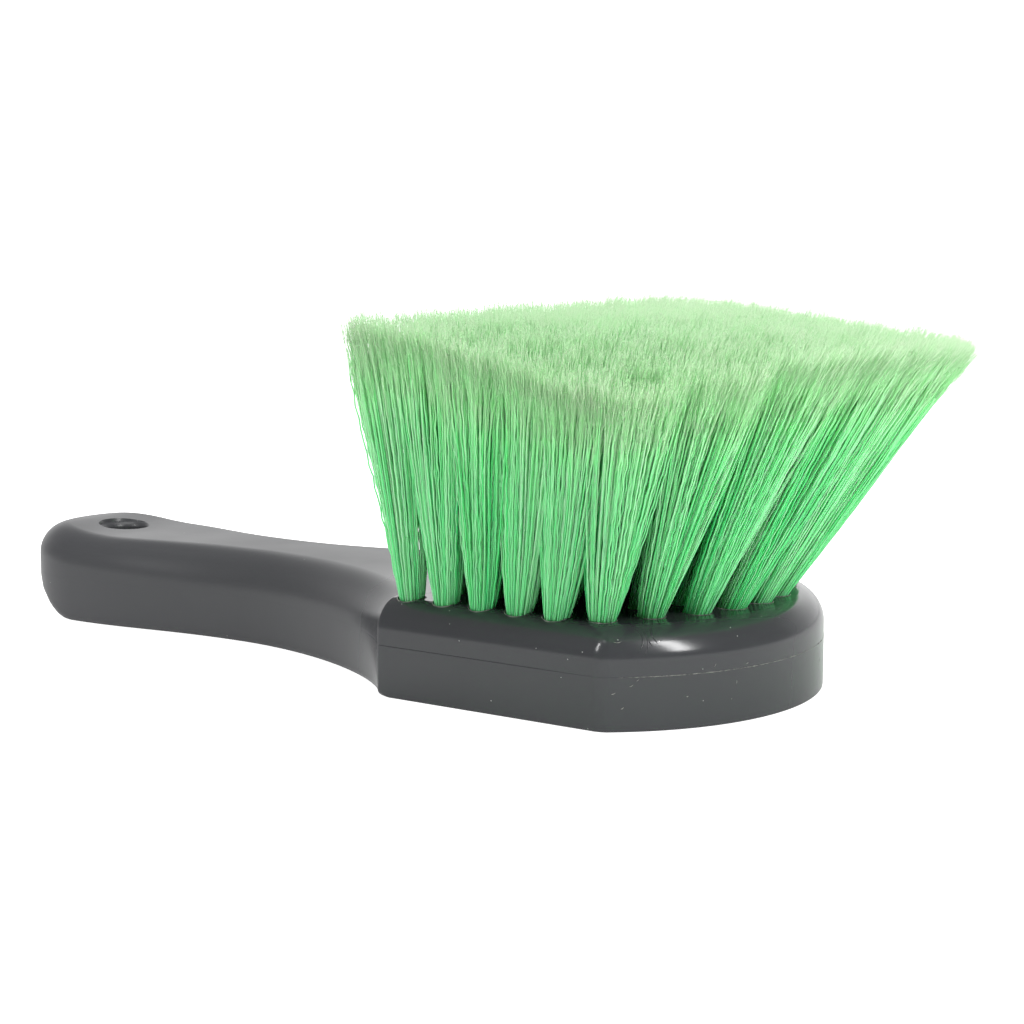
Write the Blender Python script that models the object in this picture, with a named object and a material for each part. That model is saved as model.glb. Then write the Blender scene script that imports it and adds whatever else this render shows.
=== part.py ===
"""Short-handled wheel brush: one moulded block and handle, and its bristle tufts in drilled blind holes.

Frame: origin on the flat back of the block, at the shoulder line where the handle meets it.
+X runs along the brush towards the nose, +Z out of the back towards the bristles, Y is the width.
"""

import math

import bmesh
import bpy
from mathutils import Matrix, Vector

# Block, metres
BLOCK_HALF_WIDTH = 0.043
STRAIGHT_SIDE = 0.0576
NOSE_X = 0.080
BLOCK_HEIGHT = 0.0213
BLOCK_TOP_FILLET = 0.0070
BLOCK_BOTTOM_FILLET = 0.0004

# Handle
HANDLE_END_X = -0.140
HANDLE_KNOB_X = -0.117
HANDLE_KNOB_HALF_WIDTH = 0.0216
HANDLE_WAIST_X = -0.064
HANDLE_WAIST_HALF_WIDTH = 0.0168
HANDLE_TOP = 0.0219
HANDLE_END_RISE = 0.0018
HANDLE_TOP_FILLET = 0.0094
HANDLE_KNOB_TOP_FILLET = 0.0080
HANDLE_BOTTOM_FILLET = 0.0016
HANDLE_END_BOTTOM_FILLET = 0.0110
HANGING_HOLE_X = -0.1185
HANGING_HOLE_RADIUS = 0.0055
HANGING_HOLE_RIM = 0.0016

# Tufts
PITCH = 0.0095
ROW_SPACING = 0.0090
FIRST_TUFT_X = 0.0045
TUFTS_IN_ROW = {0: 6, 1: 6, 2: 6, 3: 5, 4: 5}
MIDDLE_TUFT_X = 0.0605
NOSE_TUFTS = (
    (0.0522, -0.0338),
    (0.0582, -0.0245),
    (0.0640, -0.0155),
    (0.0672, -0.0062),
    (0.0684, 0.0030),
    (0.0674, 0.0125),
    (0.0636, 0.0225),
    (0.0560, 0.0320),
)
HOLE_RADIUS = 0.0030
HOLE_DEPTH = 0.0120
HOLE_MOUTH = 0.0030
STEM_RADIUS = 0.00265
STEM_CLEAR = 0.0005
TIP_RADIUS = 0.0066
TRIM_HEIGHT = 0.0621
LONGEST_TUFT = 0.0680
NEIGHBOUR_SHARE = 0.47

# The tufts fan out: the lean of a tuft grows with its distance from the shoulder line and the middle,
# and sideways it grows most at the two corners of the nose
LEAN_RUN = 0.058
LEAN_X_START = 0.0035
LEAN_X_RATE = 0.765
LEAN_X_EASE = 4.2
LEAN_Y_RATE = 0.58
CORNER_SPLAY = 1.05
CORNER_X = STRAIGHT_SIDE
CORNER_Y = 4 * ROW_SPACING

TUFT_SIDES = 10
HOLE_SIDES = 12
HANGING_HOLE_SIDES = 24

GREY = (0.085, 0.087, 0.095, 1.0)
GREEN = (0.22, 0.68, 0.25, 1.0)


def clear_scene():
    for obj in list(bpy.data.objects):
        bpy.data.objects.remove(obj, do_unlink=True)


def make_material(name, colour, roughness):
    material = bpy.data.materials.new(name)
    material.use_nodes = True
    shader = material.node_tree.nodes["Principled BSDF"]
    shader.inputs["Base Color"].default_value = colour
    shader.inputs["Roughness"].default_value = roughness
    shader.inputs["Metallic"].default_value = 0.0
    material.diffuse_color = colour
    return material


def make_object(name, mesh, material=None):
    obj = bpy.data.objects.new(name, mesh)
    bpy.context.collection.objects.link(obj)
    if material:
        mesh.materials.append(material)
    return obj


def smooth_step(value, start, end):
    t = min(1.0, max(0.0, (value - start) / (end - start)))
    return t * t * (3.0 - 2.0 * t)


def cubic(a, b, c, d, count):
    """Points of a cubic curve after its first end, with b and c as its handles."""
    points = []
    for step in range(1, count + 1):
        t = step / count
        s = 1.0 - t
        weights = (s * s * s, 3 * s * s * t, 3 * s * t * t, t * t * t)
        points.append(sum((Vector(p) * w for p, w in zip((a, b, c, d), weights)), Vector((0.0, 0.0))))
    return points


def nose_arc(count):
    """The nose is one circular arc from the end of the straight side to the nose tip."""
    rise = NOSE_X - STRAIGHT_SIDE
    radius = (BLOCK_HALF_WIDTH**2 + rise**2) / (2.0 * rise)
    centre = NOSE_X - radius
    start = -math.atan2(BLOCK_HALF_WIDTH, STRAIGHT_SIDE - centre)
    angles = [start * (1.0 - step / count) for step in range(1, count + 1)]
    return [Vector((centre + radius * math.cos(a), radius * math.sin(a))) for a in angles]


def half_outline():
    """The outline's -Y half, from the handle's end to the nose tip."""
    end = (HANDLE_END_X, 0.0)
    knob = (HANDLE_KNOB_X, -HANDLE_KNOB_HALF_WIDTH)
    waist = (HANDLE_WAIST_X, -HANDLE_WAIST_HALF_WIDTH)
    shoulder = (0.0, -BLOCK_HALF_WIDTH)
    points = [Vector(end)]
    points += cubic(end, (HANDLE_END_X, -0.013), (-0.133, knob[1]), knob, 7)
    points += cubic(knob, (-0.098, knob[1]), (-0.088, waist[1]), waist, 6)
    points += cubic(waist, (-0.040, waist[1]), (-0.012, -0.029), shoulder, 8)
    points.append(Vector((STRAIGHT_SIDE, -BLOCK_HALF_WIDTH)))
    points += nose_arc(10)
    return points


def inward_normals(points):
    """Mitred inward normals, scaled so that both neighbouring sides move in by the same distance."""
    normals = []
    for i, point in enumerate(points):
        before = points[i - 1] if i else Vector((points[1].x, -points[1].y))
        after = points[i + 1] if i + 1 < len(points) else Vector((points[-2].x, -points[-2].y))
        sides = [(point - before).normalized(), (after - point).normalized()]
        across = [Vector((-side.y, side.x)) for side in sides]
        middle = (across[0] + across[1]).normalized()
        normals.append(middle / max(0.5, middle.dot(across[0])))
    return normals


def edge_sizes(x):
    """Bottom fillet, top fillet and top height at a point of the outline."""
    if x >= -1e-6:
        return BLOCK_BOTTOM_FILLET, BLOCK_TOP_FILLET, BLOCK_HEIGHT
    towards_end = smooth_step(-x, 0.118, 0.137)
    towards_knob = smooth_step(-x, 0.075, 0.110)
    off_block = smooth_step(-x, 0.0, 0.030)
    bottom = HANDLE_BOTTOM_FILLET + (HANDLE_END_BOTTOM_FILLET - HANDLE_BOTTOM_FILLET) * towards_end
    top = BLOCK_TOP_FILLET + (HANDLE_TOP_FILLET - BLOCK_TOP_FILLET) * off_block
    top += (HANDLE_KNOB_TOP_FILLET - HANDLE_TOP_FILLET) * towards_knob
    height = BLOCK_HEIGHT + (HANDLE_TOP - BLOCK_HEIGHT) * off_block
    return bottom, top, height + HANDLE_END_RISE * smooth_step(-x, 0.108, 0.137)


def section(x):
    """Inset and height of each level of the wall, from the flat back up to the top face."""
    bottom, top, height = edge_sizes(x)
    levels = []
    for degrees in (0, 30, 60, 90):
        a = math.radians(degrees)
        levels.append((bottom * (1.0 - math.sin(a)), bottom * (1.0 - math.cos(a))))
    for degrees in (0, 22.5, 45, 67.5, 90):
        a = math.radians(degrees)
        levels.append((top * (1.0 - math.cos(a)), height - top * (1.0 - math.sin(a))))
    return levels


def make_moulding_mesh():
    """Walls between the levels of the outline, closed by strips across the back and the top."""
    points = half_outline()
    normals = inward_normals(points)
    last = len(points) - 1
    bm = bmesh.new()
    near, far = [], []
    for i, (point, normal) in enumerate(zip(points, normals)):
        near_column, far_column = [], []
        for inset, height in section(point.x):
            place = point + normal * inset
            near_column.append(bm.verts.new((place.x, place.y, height)))
            on_axis = i in (0, last)
            far_column.append(near_column[-1] if on_axis else bm.verts.new((place.x, -place.y, height)))
        near.append(near_column)
        far.append(far_column)
    for i in range(last):
        for k in range(len(near[i]) - 1):
            bm.faces.new((near[i][k], near[i + 1][k], near[i + 1][k + 1], near[i][k + 1]))
            bm.faces.new((far[i][k], far[i][k + 1], far[i + 1][k + 1], far[i + 1][k]))
        for k, flip in ((0, True), (-1, False)):
            corners = [near[i][k], near[i + 1][k], far[i + 1][k], far[i][k]]
            corners = [v for n, v in enumerate(corners) if v not in corners[:n]]
            bm.faces.new(corners[::-1] if flip else corners)
    mesh = bpy.data.meshes.new("block_handle")
    bm.to_mesh(mesh)
    bm.free()
    return mesh


def tuft_bases():
    """Name and place of each tuft: staggered rows along the brush, then the row that follows the nose."""
    bases = []
    for row in range(-4, 5):
        start = FIRST_TUFT_X if row % 2 == 0 else FIRST_TUFT_X + PITCH / 2.0
        for k in range(TUFTS_IN_ROW[abs(row)]):
            bases.append((f"tuft_row{row + 5}_{k + 1}", start + k * PITCH, row * ROW_SPACING))
    bases.append((f"tuft_row5_{TUFTS_IN_ROW[0] + 1}", MIDDLE_TUFT_X, 0.0))
    bases += [(f"tuft_nose_{k + 1}", x, y) for k, (x, y) in enumerate(NOSE_TUFTS)]
    return bases


def tuft_direction(x, y):
    lean_x = LEAN_X_START + LEAN_X_RATE * x - LEAN_X_EASE * x * x
    lean_y = LEAN_Y_RATE * y * (1.0 + CORNER_SPLAY * x / CORNER_X * abs(y / CORNER_Y))
    return Vector((lean_x, lean_y, LEAN_RUN)).normalized()


def tuft_length(direction):
    """The field is trimmed flat, down to the length of the longest filaments."""
    return min(LONGEST_TUFT, TRIM_HEIGHT / direction.z)


def tip_radii(bases):
    """Each tuft opens until it nearly meets its nearest neighbour."""
    tips = []
    for _, x, y in bases:
        direction = tuft_direction(x, y)
        tips.append(Vector((x, y, 0.0)) + direction * tuft_length(direction))
    radii = []
    for i, tip in enumerate(tips):
        nearest = min((tip - other).length for j, other in enumerate(tips) if j != i)
        radii.append(min(TIP_RADIUS, NEIGHBOUR_SHARE * nearest))
    return radii


def add_turned(bm, profile, sides, transform):
    """A closed turned solid along the transform's Z, from its (radius, height) profile."""
    rings = []
    for radius, height in profile:
        angles = [2.0 * math.pi * k / sides for k in range(sides)]
        ring = [Vector((radius * math.cos(a), radius * math.sin(a), height)) for a in angles]
        rings.append([bm.verts.new(transform @ corner) for corner in ring])
    bm.faces.new(rings[0][::-1])
    bm.faces.new(rings[-1])
    for low, high in zip(rings, rings[1:]):
        for k in range(sides):
            n = (k + 1) % sides
            bm.faces.new((low[k], low[n], high[n], high[k]))


def tuft_frame(x, y):
    """Z along the tuft, origin where its axis meets the block's top face."""
    turn = tuft_direction(x, y).to_track_quat("Z", "Y").to_matrix().to_4x4()
    return Matrix.Translation((x, y, BLOCK_HEIGHT)) @ turn


def make_cutter(name, build):
    bm = bmesh.new()
    build(bm)
    mesh = bpy.data.meshes.new(name)
    bm.to_mesh(mesh)
    bm.free()
    cutter = make_object(name, mesh)
    cutter.hide_render = True
    cutter.display_type = "WIRE"
    return cutter


def build_tuft_holes(bm):
    profile = ((HOLE_RADIUS, -HOLE_DEPTH), (HOLE_RADIUS, HOLE_MOUTH))
    for _, x, y in tuft_bases():
        add_turned(bm, profile, HOLE_SIDES, tuft_frame(x, y))


def build_hanging_hole(bm):
    """A round through hole whose rims open out with a rounded edge."""
    top = edge_sizes(HANGING_HOLE_X)[2]
    rim, radius = HANGING_HOLE_RIM, HANGING_HOLE_RADIUS
    upper = []
    for degrees in (0, 30, 60, 85):
        a = math.radians(degrees)
        upper.append((radius + rim * (1.0 - math.cos(a)), top - rim + rim * math.sin(a)))
    upper.append((radius + rim * 1.15, top + rim))
    lower = [(r, top - z) for r, z in reversed(upper)]
    add_turned(bm, lower + upper, HANGING_HOLE_SIDES, Matrix.Translation((HANGING_HOLE_X, 0.0, 0.0)))


def make_block_handle(material):
    mesh = make_moulding_mesh()
    obj = make_object("block_handle", mesh, material)
    mesh.shade_smooth()
    mesh.set_sharp_from_angle(angle=math.radians(40))
    for name, build in (("tuft_hole_cutter", build_tuft_holes), ("hanging_hole_cutter", build_hanging_hole)):
        cut = obj.modifiers.new(name, "BOOLEAN")
        cut.operation = "DIFFERENCE"
        cut.solver = "EXACT"
        cut.object = make_cutter(name, build)


def make_tuft(name, x, y, tip_radius, material):
    """A plain solid of the tuft's outer shape: a straight stem in its hole, opening towards the tip."""
    length = tuft_length(tuft_direction(x, y))
    opening = tip_radius - STEM_RADIUS
    profile = [(STEM_RADIUS, -HOLE_DEPTH + STEM_CLEAR), (STEM_RADIUS, 0.004)]
    profile += [(STEM_RADIUS + opening * share, length * at) for share, at in ((0.36, 0.25), (0.72, 0.60))]
    profile += [(tip_radius, length)]
    bm = bmesh.new()
    add_turned(bm, profile, TUFT_SIDES, Matrix.Identity(4))
    mesh = bpy.data.meshes.new(name)
    bm.to_mesh(mesh)
    bm.free()
    mesh.shade_smooth()
    mesh.set_sharp_from_angle(angle=math.radians(45))
    obj = make_object(name, mesh, material)
    frame = tuft_frame(x, y)
    obj.location = frame.to_translation()
    obj.rotation_euler = frame.to_euler()


def main():
    clear_scene()
    make_block_handle(make_material("grey_moulded_plastic", GREY, 0.38))
    green = make_material("green_filament", GREEN, 0.5)
    bases = tuft_bases()
    for (name, x, y), radius in zip(bases, tip_radii(bases)):
        make_tuft(name, x, y, radius, green)


main()
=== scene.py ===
"""Looks of the short-handled wheel brush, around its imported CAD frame.

The moulding is rebuilt at fine resolution with its parting line and marks, and every tuft as crimped
filaments whose ends are split into finer fibres. Frame and units are the CAD model's: metres, +X to the
nose, +Z out of the flat back towards the bristles.
"""

import math

import bmesh
import bpy
import numpy as np
from mathutils import Matrix, Vector, geometry


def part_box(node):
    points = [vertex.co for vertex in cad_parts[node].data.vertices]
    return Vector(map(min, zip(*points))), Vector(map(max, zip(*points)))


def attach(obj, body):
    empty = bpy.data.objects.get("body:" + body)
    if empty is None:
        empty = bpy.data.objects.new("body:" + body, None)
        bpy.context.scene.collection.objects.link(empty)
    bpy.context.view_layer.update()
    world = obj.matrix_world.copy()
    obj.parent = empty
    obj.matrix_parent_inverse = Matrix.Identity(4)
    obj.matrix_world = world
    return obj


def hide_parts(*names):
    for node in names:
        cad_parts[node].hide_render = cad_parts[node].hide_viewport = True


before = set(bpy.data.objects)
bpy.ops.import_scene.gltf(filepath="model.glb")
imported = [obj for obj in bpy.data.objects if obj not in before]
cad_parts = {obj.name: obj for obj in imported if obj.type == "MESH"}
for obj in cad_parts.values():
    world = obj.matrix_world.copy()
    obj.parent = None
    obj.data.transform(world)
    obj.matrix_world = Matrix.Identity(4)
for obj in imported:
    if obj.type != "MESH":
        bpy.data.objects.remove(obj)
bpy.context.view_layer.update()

# Camera: a product shot from low on the nose side
CAMERA_PLACE = (0.28091, -0.39501, 0.10473)
CAMERA_AZIMUTH = 34.83
CAMERA_ELEVATION = 8.13
CAMERA_LENS = 74.12
CAMERA_SENSOR = 36.0

# Light
BACKDROP_WAY = (-0.571, 0.821, 0.0)
BACKDROP_LIGHT = 1.45
ROOM_LIGHT = 0.41
TABLE_GLOW = 0.17
TABLE_RADIUS = 20.0
TABLE_DROP = 0.00015
LIGHT_TARGET = (0.03, 0.0, 0.02)

# Block, with its sizes read off the CAD node
MOULDING_LOW, MOULDING_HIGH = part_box("block_handle")
BLOCK_HALF_WIDTH = MOULDING_HIGH.y
NOSE_X = MOULDING_HIGH.x
STRAIGHT_SIDE = 0.0576
BLOCK_HEIGHT = 0.0213
BLOCK_TOP_FILLET = 0.0070
BLOCK_BOTTOM_FILLET = 0.0004
BLOCK_FILLET_END = 78.0
NOSE_CORNER_RADIUS = 0.0062
NOSE_CORNER_LEAST = 0.0028
BLOCK_END_ROUND = 0.0007
BLOCK_END_BOTTOM_FILLET = 0.0018
BLOCK_END_FADE = 0.0032
BLOCK_SIDE_PLACES = (0.0014, 0.0022, BLOCK_END_FADE, 0.006, 0.012, 0.020, 0.030, 0.040, 0.050)
CORNER_COLUMNS = 8
NOSE_COLUMNS = 34
SHARP_ANGLE = 38

# Handle
HANDLE_END_X = MOULDING_LOW.x
HANDLE_KNOB_X = -0.117
HANDLE_KNOB_HALF_WIDTH = 0.0216
HANDLE_WAIST_X = -0.064
HANDLE_WAIST_HALF_WIDTH = 0.0168
HANDLE_TOP = 0.0219
HANDLE_END_RISE = MOULDING_HIGH.z - HANDLE_TOP
HANDLE_TOP_FILLET = 0.0094
HANDLE_KNOB_TOP_FILLET = 0.0080
HANDLE_BOTTOM_FILLET = 0.0016
HANDLE_END_BOTTOM_FILLET = 0.0110
HANDLE_FILLET_SPAN = (0.118, 0.137)
HANDLE_RISE_SPAN = (0.108, 0.137)
HANDLE_KNOB_SPAN = (0.075, 0.110)
HANDLE_BLEND_SPAN = (0.0, 0.030)
HANDLE_IN_BLOCK = 0.0090
HANDLE_INSIDE_BLOCK_SIDE = 0.0004
HANDLE_END_CHAMFER = 0.0012
HANDLE_FLUSH = 0.00002
HANGING_HOLE_X = -0.1185
HANGING_HOLE_RADIUS = 0.0055
HANGING_HOLE_RIM = 0.0016

# Parting line round the moulding
PARTING_HEIGHT = 0.0114
PARTING_HALF_WIDTH = 0.00009
PARTING_DEPTH = 0.00005
PARTING_LEDGE = 0.00003
NOSE_FLASH = -0.5
FLASH_RADIUS = 0.00007
FLASH_END = 52.5
FLASH_FADE = 9.0
FLASH_STEPS = 260
FLASH_SEED = 29
HANDLE_GROOVE = 0.2

# Tufts: their nodes' end rings, their holes, and how they open out into the field of tips
END_RING_REACH = 0.0001
HOLE_RADIUS = 0.0030
HOLE_DEPTH = 0.0120
HOLE_MOUTH = 0.0030
FILAMENTS = 176
LOCKS = 11
LOCK_PULL = 0.16
STEM_FILL = 0.0027
FOOT_DEPTH = 0.0105
LONGEST_FILAMENT = 0.0682
OPENING_POWER = 0.80
TIP_SPREAD = 0.58
TIP_SPREAD_LEAST = 0.0082
TIP_SPREAD_MOST = 0.0124
HEIGHT_REACH = 0.0060
SIDE_MARGIN = 0.0066
NOSE_MARGIN = 0.0066
SHOULDER_MARGIN = 0.0086
FIELD_OVERHANG = 0.0110
INNER_DEPTH = 0.012
# Painted shade: the inner tufts' filaments are coloured darker by this factor
INNER_PAINTED_SHADE = 0.5
OUTER_STEPS = 24
INNER_STEPS = 16
TUFT_SEED = 4100

# Filaments: a pair is a mean and its spread, or a range
FILAMENT_RADIUS = 0.000165
TUBE_SIDES = 3
TIP_SHAKE = 0.05
LOCK_TRIM = 0.0005
FILAMENT_TRIM = 0.0006
WAVE_LENGTH = (0.0064, 0.0088)
WAVE_SPREAD = 0.04
PHASE_SPREAD = 0.55
HEADING_SPREAD = 0.35
CRIMP = (0.00012, 0.00005)
CRIMP_GROWN = 0.16
LOCK_SWAY = 0.00030
FILAMENT_SWAY = 0.00024
SWAY_TURNS = 1.7
STRAY_SHARE = 0.03
STRAY_SWAY = 2.4
STRAY_CRIMP = 1.8
LOCK_SHADE = 0.45
SPLIT_START = (0.80, 0.030)
SPLIT_START_RANGE = (0.72, 0.88)
FOOT_GATHER = 0.12
THICKNESS_SPREAD = 0.10
SHAFT_OVERLAP = 0.05
SHAFT_TAPER = 0.06
SHAFT_TAPER_LEAST = 0.25
SHAFT_PALING = 0.12
SHAFT_END_SPLIT = 0.30

# The fine fibres that a filament's end is split into
SPLITS = 5
SPLIT_STEPS = 5
SPLIT_RADIUS = 0.000060
SPLIT_TAPER = 0.45
FIBRE_START_SPREAD = 0.03
FIBRE_END = (0.994, 0.010)
FIBRE_END_MOST = 1.016
FIBRE_EARLY_SHARE = 0.12
FIBRE_EARLY = (0.01, 0.07)
FIBRE_REACH = (0.00095, 0.00045)
FIBRE_WILD_SHARE = 0.05
FIBRE_WILD = 2.4
FIBRE_START_REACH = 0.00012
FIBRE_OPENING = 1.3
FIBRE_WAVE = 0.00026
FIBRE_WAVE_TURNS = (1.2, 2.6)
FIBRE_THICKNESS = (0.8, 1.25)
FIBRE_SHADE_SPREAD = 0.2

# Small pieces
BURR_HEIGHT = 0.00020
BURR_LEAST = 0.00002
BURR_WIDTH = 0.00040
BURR_OVERLAP = 0.00004
BURR_SINK = 0.00006
BURR_CORNERS = 36
BURR_SEED = 71
STAPLE_DEPTH = 0.0102
STAPLE_SIZE = (0.0062, 0.0003, 0.0018)
STAPLE_BEVEL = 0.00006
# How far a thread that lies on the surface stands out of it, as a share of its radius
FLOW_MARK_RISE = 0.75
SCUFF_RISE = 0.35
FLASH_RISE = 0.8
# Each flow mark: degrees round the nose, lower and upper degrees up the fillet, bend in degrees
FLOW_MARK_RADIUS = 0.00024
FLOW_MARK_STEPS = 14
FLOW_MARKS = (
    (-46.4, 16.0, 62.0, 1.3),
    (-45.0, 10.0, 60.0, 1.0),
    (-43.2, 26.0, 64.0, -0.8),
    (-41.8, 30.0, 66.0, -1.0),
)
# Each scuff: degrees round the nose, degrees up the fillet, height on the wall, length, slant in degrees
SCUFF_RADIUS = 0.00008
SCUFFS = (
    (-51.0, 34.0, None, 0.0018, 4.0),
    (-52.2, 0.0, 0.0080, 0.0013, 12.0),
    (-48.0, 0.0, 0.0096, 0.0010, 28.0),
    (-46.5, 0.0, 0.0108, 0.0008, 40.0),
    (-50.0, 0.0, 0.0050, 0.0007, 35.0),
    (-22.0, 0.0, 0.0086, 0.0009, 80.0),
    (-19.0, 0.0, 0.0122, 0.0008, 20.0),
    (-28.0, 0.0, 0.0127, 0.0009, 55.0),
    (-35.0, 0.0, 0.0068, 0.0005, 10.0),
    (16.0, 0.0, 0.0074, 0.0012, 30.0),
    (38.0, 0.0, 0.0092, 0.0009, 60.0),
)

# Colours: each pair is what a pattern or a filament's own shade varies between
PLASTIC = ((0.028, 0.029, 0.033, 1.0), (0.036, 0.037, 0.041, 1.0))
PLASTIC_WORN = (0.050, 0.051, 0.055, 1.0)
PLASTIC_SPECK = (0.24, 0.245, 0.24, 1.0)
# Pale scraped plastic; on the parting flash it is partly a painted glint
SCRAPED_AND_GLINT_PLASTIC = ((0.060, 0.062, 0.058, 1.0), (0.27, 0.27, 0.24, 1.0))
SHAFT_GREEN = ((0.035, 0.72, 0.17, 1.0), (0.42, 0.90, 0.47, 1.0))
# Painted shade: a darker green mixed in at the filaments' roots, near the block
ROOT_SHADE_GREEN = (0.12, 0.74, 0.26, 1.0)
FIBRE_GREEN = ((0.25, 0.94, 0.27, 1.0), (0.62, 0.97, 0.56, 1.0))
TIP_GREEN = ((0.33, 0.63, 0.275, 1.0), (0.49, 0.66, 0.42, 1.0))
WIRE = ((0.48, 0.49, 0.50, 1.0), (0.62, 0.63, 0.64, 1.0))

GOLDEN_ANGLE = math.pi * (3.0 - math.sqrt(5.0))


# ---------------------------------------------------------------- small helpers


def smooth_step(value, start, end):
    t = min(1.0, max(0.0, (value - start) / (end - start)))
    return t * t * (3.0 - 2.0 * t)


def cubic(a, b, c, d, count):
    """Points of a cubic curve after its first end, with b and c as its handles."""
    points = []
    for step in range(1, count + 1):
        t = step / count
        s = 1.0 - t
        weights = (s * s * s, 3 * s * s * t, 3 * s * t * t, t * t * t)
        points.append(sum((Vector(p) * w for p, w in zip((a, b, c, d), weights)), Vector((0.0, 0.0))))
    return points


def link(name, mesh, material=None):
    """A new object for a mesh, in the scene."""
    obj = bpy.data.objects.new(name, mesh)
    bpy.context.scene.collection.objects.link(obj)
    if material:
        mesh.materials.append(material)
    return obj


def mesh_from_bmesh(name, bm):
    mesh = bpy.data.meshes.new(name)
    bm.to_mesh(mesh)
    bm.free()
    return mesh


def mesh_from_arrays(name, places, polygons):
    """A mesh from an array of places and a list of arrays of corners, one array for each polygon size."""
    corners = np.concatenate([p.ravel() for p in polygons])
    sizes = np.concatenate([np.full(len(p), p.shape[1]) for p in polygons])
    starts = np.concatenate([[0], np.cumsum(sizes)[:-1]])
    mesh = bpy.data.meshes.new(name)
    mesh.vertices.add(len(places))
    mesh.vertices.foreach_set("co", places.astype(np.float32).ravel())
    mesh.loops.add(len(corners))
    mesh.loops.foreach_set("vertex_index", corners.astype(np.int32))
    mesh.polygons.add(len(sizes))
    mesh.polygons.foreach_set("loop_start", starts.astype(np.int32))
    mesh.update(calc_edges=True)
    mesh.shade_smooth()
    return mesh


def add_turned(bm, profile, sides, transform):
    """A closed turned solid along the transform's Z, from its (radius, height) profile."""
    rings = []
    for radius, height in profile:
        angles = [2.0 * math.pi * k / sides for k in range(sides)]
        ring = [Vector((radius * math.cos(a), radius * math.sin(a), height)) for a in angles]
        rings.append([bm.verts.new(transform @ corner) for corner in ring])
    bm.faces.new(rings[0][::-1])
    bm.faces.new(rings[-1])
    for low, high in zip(rings, rings[1:]):
        for k in range(sides):
            n = (k + 1) % sides
            bm.faces.new((low[k], low[n], high[n], high[k]))


# ---------------------------------------------------------------- tufts, as the CAD nodes give them


class Tuft:
    """Axis, hole mouth and tip of one tuft, read off its CAD node."""

    def __init__(self, name, node):
        co = np.array([v.co for v in node.data.vertices], float)
        centre = (co.max(0) + co.min(0)) / 2.0
        axis = np.linalg.svd(co - co.mean(0), full_matrices=False)[2][0]
        self.axis = axis if axis[2] > 0.0 else -axis
        along = (co - centre) @ self.axis
        self.name = name
        self.tip = co[along > along.max() - END_RING_REACH].mean(0)
        foot = co[along < along.min() + END_RING_REACH].mean(0)
        self.axis = (self.tip - foot) / np.linalg.norm(self.tip - foot)
        self.mouth = foot + self.axis * (BLOCK_HEIGHT - foot[2]) / self.axis[2]
        self.across = np.array([1.0, 0.0, 0.0]) - self.axis * self.axis[0]
        self.across /= np.linalg.norm(self.across)
        self.up = np.cross(self.axis, self.across)

    def transform(self):
        """Z along the tuft, origin at the hole's mouth."""
        columns = np.eye(4)
        columns[:3] = np.stack([self.across, self.up, self.axis, self.mouth], 1)
        return Matrix(columns.tolist())


def read_tufts():
    names = sorted(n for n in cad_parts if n.startswith("tuft_"))
    return [Tuft(n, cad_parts[n]) for n in names]


# ---------------------------------------------------------------- moulding


def fillet_levels(bottom, top, height, groove, last=90.0):
    """Inset and height of each level of a wall, from the flat back up to the top face.

    groove scales the parting line's depth. The top fillet ends at the angle last, so under 90 it
    meets the top face in an edge.
    """
    levels = []
    ledge_here = PARTING_LEDGE * abs(groove)
    for degrees in range(0, 91, 15):
        a = math.radians(degrees)
        levels.append((bottom * (1.0 - math.sin(a)), bottom * (1.0 - math.cos(a))))
    for step, deep in ((-1.0, 0.0), (-0.3, 1.0), (0.3, 1.0), (1.0, 0.0)):
        ledge = ledge_here if step > 0.0 else 0.0
        levels.append((ledge + PARTING_DEPTH * groove * deep, PARTING_HEIGHT + step * PARTING_HALF_WIDTH))
    rise = math.sin(math.radians(last))
    for degrees in np.linspace(0.0, last, 15):
        a = math.radians(degrees)
        ledge = ledge_here * math.cos(a)
        levels.append((ledge + top * (1.0 - math.cos(a)), height - top * (rise - math.sin(a))))
    return levels


def nose_radius():
    """The radius of the nose's arc, from one straight side to the other."""
    rise = NOSE_X - STRAIGHT_SIDE
    return (BLOCK_HALF_WIDTH**2 + rise**2) / (2.0 * rise)


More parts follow.
